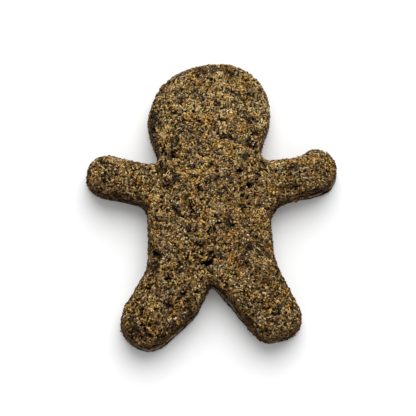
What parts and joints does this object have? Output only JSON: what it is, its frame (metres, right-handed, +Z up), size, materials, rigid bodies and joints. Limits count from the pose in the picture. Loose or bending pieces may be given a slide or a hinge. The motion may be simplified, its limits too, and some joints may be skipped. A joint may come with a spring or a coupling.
{
  "type": "gingerbread man cookie",
  "caption": "Thick figure-shaped biscuit with round head, short spread arms and splayed legs; rolled edges, coarse grain, plain with no icing, lies flat.",
  "frame": {"origin": "centre of the underside's bounding box, on the surface that the cookie rests on", "axes": "+Z up through the thickness, out of the face that shows; +Y from the feet to the head; +X to the right of the face as seen from above"},
  "size_m": [0.065, 0.075, 0.01],
  "materials": {
    "crust": null
  },
  "bodies": {
    "root": {"biscuit": "crust"}
  },
  "joints": []
}
